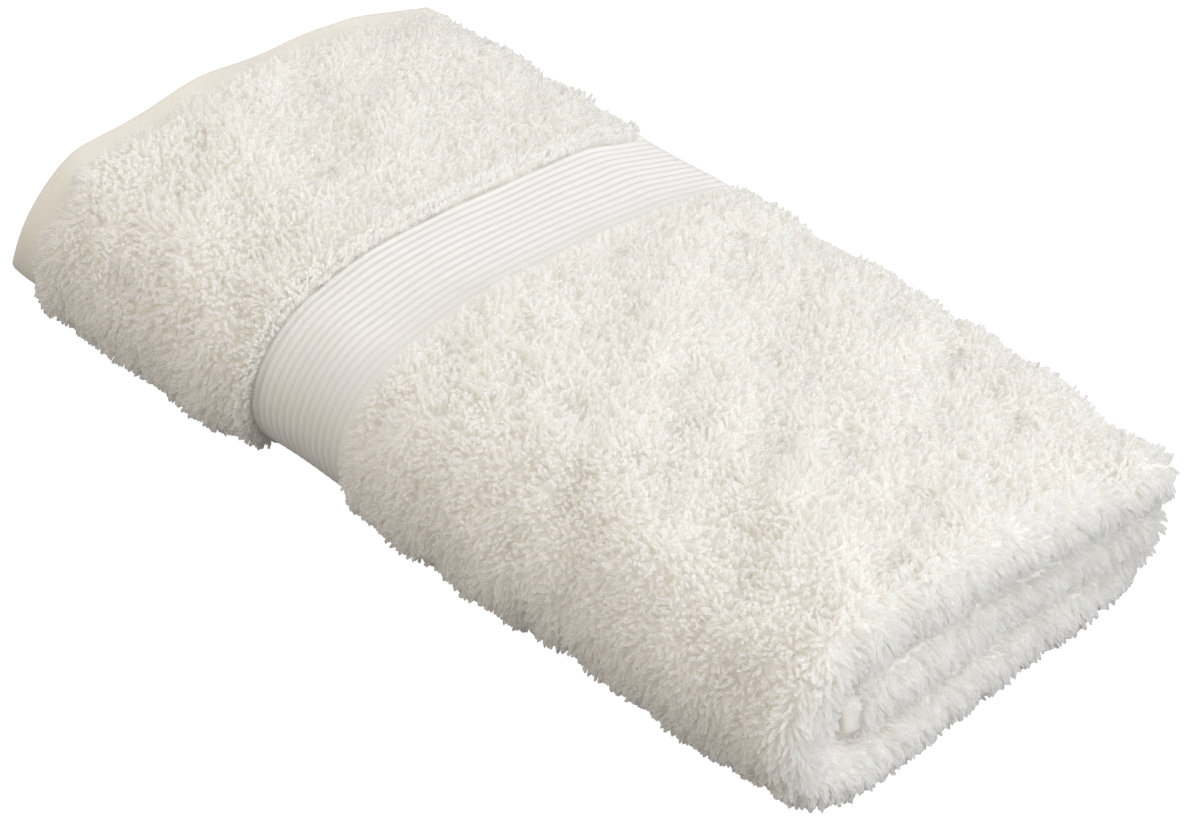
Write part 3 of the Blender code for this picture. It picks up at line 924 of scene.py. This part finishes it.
def pile_tree():
    """The nodes that grow loops on a piece of ground weave and lean them into tufts."""
    outputs = (("Pile", "Geometry"),)
    tree, given = group_tree("terry_pile", PILE_INPUTS, outputs, "GeometryNodeTree")

    # Places of the loops, evenly scattered
    square = times(tree, given["Spacing"], given["Spacing"])
    grown = node(tree, "GeometryNodeDistributePointsOnFaces", {
        "Mesh": given["Ground"],
        "Distance Min": given["Spacing"],
        "Density Max": sums(tree, "DIVIDE", TRIED_PLACES, square),
        "Density Factor": kept(tree, "pile"),
        "Seed": given["Seed"],
    }, distribute_method="POISSON")
    normal = grown.outputs["Normal"]
    place = result(node(tree, "GeometryNodeInputPosition"))

    # The way each loop leans: towards its tuft's middle, with the tuft, and a little by itself
    tuft = node(tree, "ShaderNodeTexVoronoi", {
        "Vector": place,
        "Scale": sums(tree, "DIVIDE", 1.0, given["Tuft Size"]),
    })
    inward = vectors(tree, "SUBTRACT", tuft.outputs["Position"], place)
    pull = sums(tree, "DIVIDE", given["Tuft Pull"], given["Tuft Size"])
    own_way = vectors(tree, "SUBTRACT", tuft.outputs["Color"], MEAN_COLOUR)
    sweep = node(tree, "ShaderNodeTexNoise", {
        "Vector": place,
        "Scale": sums(tree, "DIVIDE", 1.0, given["Sweep Size"]),
        "Detail": 1.0,
    }).outputs["Color"]
    sweep = vectors(tree, "SUBTRACT", sweep, MEAN_COLOUR)
    loose = random_value(tree, (-1.0,) * 3, (1.0,) * 3, given["Seed"], 0.0, "FLOAT_VECTOR")
    lean = scaled(tree, inward, pull)
    for push, strength in ((own_way, "Tuft Lean"), (sweep, "Sweep"), (loose, "Loose")):
        lean = vectors(tree, "ADD", lean, scaled(tree, push, given[strength]))
    lean = scaled(tree, lean, given["Unruly"])
    for push in (kept(tree, "nap", "FLOAT_VECTOR"), scaled(tree, (0.0, 0.0, -1.0), given["Droop"])):
        lean = vectors(tree, "ADD", lean, push)
    upward = vectors(tree, "DOT_PRODUCT", lean, normal)
    lean = vectors(tree, "SUBTRACT", lean, scaled(tree, normal, upward))
    way = vectors(tree, "NORMALIZE", lean)
    bend = sums(tree, "MINIMUM", 1.0, vectors(tree, "LENGTH", lean))
    bend = times(tree, sums(tree, "MAXIMUM", LEAST_BEND, bend), given["Most Bend"])
    uneven = random_value(tree, *LOOP_UNEVEN, given["Seed"], 1.0)
    share = times(tree, uneven, given["Length Share"])
    share = times(tree, share, kept(tree, "reach"))
    tone = random_value(tree, 0.0, 1.0, given["Seed"], 2.0)
    points = grown.outputs["Points"]
    names = ("way", "bend", "root", "stand", "share", "tone")
    for name, value in zip(names, (way, bend, place, normal, share, tone)):
        points = stored(tree, points, name, value)

    # A loop on each place, turned at random about its own foot
    facing = result(node(tree, "FunctionNodeAlignRotationToVector", {"Vector": normal}, axis="Z"))
    angle = random_value(tree, -math.pi, math.pi, given["Seed"], 3.0)
    spin = node(tree, "FunctionNodeAxisAngleToRotation", {"Axis": (0.0, 0.0, 1.0), "Angle": angle})
    turns = {"Rotation": facing, "Rotate By": result(spin)}
    facing = node(tree, "FunctionNodeRotateRotation", turns, rotation_space="LOCAL")
    stretch = node(tree, "ShaderNodeCombineXYZ", {"X": 1.0, "Y": 1.0, "Z": share})
    one_loop = node(tree, "GeometryNodeObjectInfo", {"Object": given["Loop"]})
    loops = node(tree, "GeometryNodeInstanceOnPoints", {
        "Points": points,
        "Instance": one_loop.outputs["Geometry"],
        "Rotation": result(facing),
        "Scale": result(stretch),
    })
    pile = result(node(tree, "GeometryNodeRealizeInstances", {"Geometry": result(loops)}))

    # Each loop bends over from its foot to its tip, in an arc that keeps its length
    stand, root, way = (kept(tree, name, "FLOAT_VECTOR") for name in ("stand", "root", "way"))
    bend = kept(tree, "bend")
    size = times(tree, kept(tree, "share"), given["Loop Length"])
    reached = vectors(tree, "SUBTRACT", result(node(tree, "GeometryNodeInputPosition")), root)
    up = vectors(tree, "DOT_PRODUCT", reached, stand)
    thickness = vectors(tree, "SUBTRACT", reached, scaled(tree, stand, up))
    rise = sums(tree, "DIVIDE", up, size)
    pile = stored(tree, pile, LOOP_RISE, rise)
    rise = kept(tree, LOOP_RISE)
    start = times(tree, bend, given["Bend At Foot"])
    turn = sums(tree, "SUBTRACT", bend, start)
    here = sums(tree, "ADD", start, times(tree, turn, rise))
    radius = sums(tree, "DIVIDE", size, turn)
    aside = sums(tree, "SUBTRACT", sums(tree, "COSINE", start), sums(tree, "COSINE", here))
    height = sums(tree, "SUBTRACT", sums(tree, "SINE", here), sums(tree, "SINE", start))
    turned = result(node(tree, "ShaderNodeVectorRotate", {
        "Vector": thickness,
        "Axis": vectors(tree, "CROSS_PRODUCT", stand, way),
        "Angle": here,
    }, rotation_type="AXIS_ANGLE"))
    sideways = scaled(tree, way, times(tree, aside, radius))
    upwards = scaled(tree, stand, times(tree, height, radius))
    arc = vectors(tree, "ADD", sideways, upwards)
    placed = vectors(tree, "ADD", vectors(tree, "ADD", root, arc), turned)

    # Nothing reaches into the table
    anywhere = result(node(tree, "GeometryNodeInputPosition"))
    lowest = vectors(tree, "MAXIMUM", anywhere, (-1.0, -1.0, TABLE_CLEARANCE))
    for kind, name, value in (
        ("GeometryNodeSetPosition", "Position", placed),
        ("GeometryNodeSetPosition", "Position", lowest),
        ("GeometryNodeSetShadeSmooth", "Shade Smooth", False),
        ("GeometryNodeSetMaterial", "Material", given["Yarn"]),
    ):
        pile = result(node(tree, kind, {"Geometry": pile, name: value}))
    node(tree, "NodeGroupOutput", {"Pile": pile})
    return tree


def pile_fields():
    """How much pile each point of the cloth carries, how long it is and the way it is combed."""
    runs = np.array([run for run, share in sections])[:, None]
    sheet = ring["sheet"][None, :]
    angle = ring["place"][None, :]
    height = cloth_points[:, :, 2]
    from_hem = from_end[None, :]
    from_selvage = from_side[:, None]

    # Where loops stand
    shown = np.isin(runs, OVER + FOLDS) & (sheet == 0)
    shown = shown | (sheet == 1)
    near_strip = from_hem > STRAIGHT_UPPER - VALLEY_STRIP
    hem_strip = from_hem < HEM_WIDTH + VALLEY_STRIP
    strips = (near_strip | hem_strip) & (runs != "bottom")
    strips = strips | ((runs == "bottom") & (sheet == 2) & near_strip)
    strips = strips | ((runs == "tail") & (sheet == 2))
    woven_in = (in_pile | np.isclose(from_end, PILE_END)) & (ring["side"] == 1)
    amount = np.where(shown, 1.0, np.where(strips, VALLEY_PILE, 0.0))
    amount = amount * woven_in[None, :] * (from_selvage > SELVAGE_BARE)
    beside_border = (from_hem > PILE_END - BARE_BESIDE) & (from_hem < BORDER_END + BARE_BESIDE)
    amount = amount * (1 - (beside_border & (height < BARE_BELOW)))

    # How long they are
    before = from_hem <= PILE_END
    before_border = before * soft_step(from_hem, PILE_END - COMB_RUN, PILE_END - PILE_FOOT_RUN)
    edge_row = (before_border > 0) * soft_step(from_hem, PILE_END - EDGE_ROW, PILE_END)
    past_border = 1 - soft_step(from_hem, BORDER_END, BORDER_END + COMB_RUN)
    past_border = past_border * (from_hem >= BORDER_END)
    past_hem = 1 - soft_step(from_hem, HEM_WIDTH, HEM_WIDTH + COMB_RUN)
    reach = 1.0 + BEFORE_REACH * before_border + ROW_REACH * edge_row
    reach = reach + PAST_REACH * past_border + HEM_REACH * past_hem
    inward = soft_step(from_selvage, 0.0, SELVAGE_RUN)
    reach = reach * (SELVAGE_REACH + (1 - SELVAGE_REACH) * inward)
    faces_layer = (sheet == 1) & ((angle > math.pi / 2) | (runs == "middle"))
    out_of_valley = np.where(faces_layer, np.sin(angle), np.where(shown, 1.0, 0.0))
    reach = reach * (VALLEY_REACH + (1 - VALLEY_REACH) * out_of_valley)
    low_reach = np.where(sheet == 1, END_LOW_REACH, LOW_REACH)
    reach = reach * (low_reach + (1 - low_reach) * soft_step(height, 0.0, LOW_RUN))

    # The way they lean
    wall = (before_border > 0) * soft_step(from_hem, PILE_END - PILE_EDGE, PILE_END)
    nap = NAP + COMB * before_border - WALL_COMB * wall + PAST_COMB * past_border
    nap = np.where(past_hem > 0, NAP * (1 - past_hem) + HEM_COMB * past_hem, nap)
    nap = np.where(shown, nap, np.where(near_strip, VALLEY_NAP, nap))
    nap = nap * np.where(sheet == 2, -1.0, 1.0) * (sheet != 1)
    nap = nap * soft_step(height, *PRESSED_NAP)
    return amount, reach, cloth_onward * nap[:, :, None]


pile_amount, pile_reach, pile_nap = pile_fields()


def growing_faces():
    """The faces that carry pile, as (section, place on the ring), by the piece that grows."""
    chosen = {row["name"]: [] for row in PILES}
    for i in range(section_count - 1):
        for j in range(outside_count - 1):
            if pile_amount[i:i + 2, j:j + 2].min() <= 0:
                continue
            at = (cut_place[j] + cut_place[j + 1]) / 2
            for row in PILES:
                if sections[i][0] in row["runs"] and row["start"] <= at < row["end"]:
                    chosen[row["name"]].append((i, j))
                    break
    return chosen


def ground_piece(name, faces):
    """A copy of part of the ground weave, with the values that the pile's nodes read."""
    used, index = np.unique([grid_faces[face] for face in faces], return_inverse=True)
    mesh = bpy.data.meshes.new(name)
    mesh.from_pydata(flat_points[used].tolist(), [], index.reshape(-1, 4).tolist())
    for label, values in (("pile", pile_amount), ("reach", pile_reach), ("nap", pile_nap)):
        kind, field = ("FLOAT_VECTOR", "vector") if values.ndim == 3 else ("FLOAT", "value")
        column = values.reshape(section_count * ring_size, -1)[used].astype(np.float32)
        mesh.attributes.new(label, kind, "POINT").data.foreach_set(field, column.ravel())
    return add_object(name + "_ground", mesh)


YARN_THROUGH = 0.92         # share of the light that shines through the yarn
YARN_SHEEN = 0.3
# Painted shade: the yarn is a little darker and warmer at the roots of the loops than at their tips.
YARN_SHADE = (0.987, 0.982, 0.972, 1.0)
YARN_LIGHT = (0.990, 0.986, 0.979, 1.0)


def root_shade_and_tone(tree):
    """How far up its loop a place is, which lays painted shade on the roots, with some loops a little
    lighter, and no normal.
    """
    own_tone = sums(tree, "SUBTRACT", attribute(tree, "tone", "Fac"), 0.5)
    own_tone = times(tree, own_tone, TONE_SPREAD)
    return sums(tree, "ADD", attribute(tree, LOOP_RISE, "Fac"), own_tone), None


loop = add_object("loop", loop_mesh())
grow = pile_tree()
inputs = {socket.name: socket.identifier for socket in grow.interface.items_tree}
yarn = cotton_material(
    "terry_yarn", YARN_SHADE, YARN_LIGHT, root_shade_and_tone, sheen=YARN_SHEEN, through=YARN_THROUGH
)
growing = growing_faces()
for row in PILES:
    ground = ground_piece(row["name"], growing[row["name"]])
    planted = ground.modifiers.new("pile", "NODES")
    planted.node_group = grow
    for label, value in (
        ("Loop", loop),
        ("Yarn", yarn),
        ("Spacing", SPACING * row["spacing"]),
        ("Length Share", row["length"]),
        ("Droop", row["droop"]),
        ("Unruly", row["unruly"]),
        ("Seed", row["seed"]),
    ):
        planted[inputs[label]] = value
    evaluated = ground.evaluated_get(bpy.context.evaluated_depsgraph_get())
    mesh = bpy.data.meshes.new_from_object(evaluated)
    mesh.name = row["name"]
    bpy.data.objects.remove(ground)
    piece = add_object(row["name"], mesh)
    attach(piece, "root")
bpy.data.objects.remove(loop)

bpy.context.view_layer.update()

# White cotton stays white deep between the loops only if light may bounce there many times
cycles = bpy.context.scene.cycles
cycles.diffuse_bounces = 16
cycles.transmission_bounces = 24
cycles.max_bounces = 32
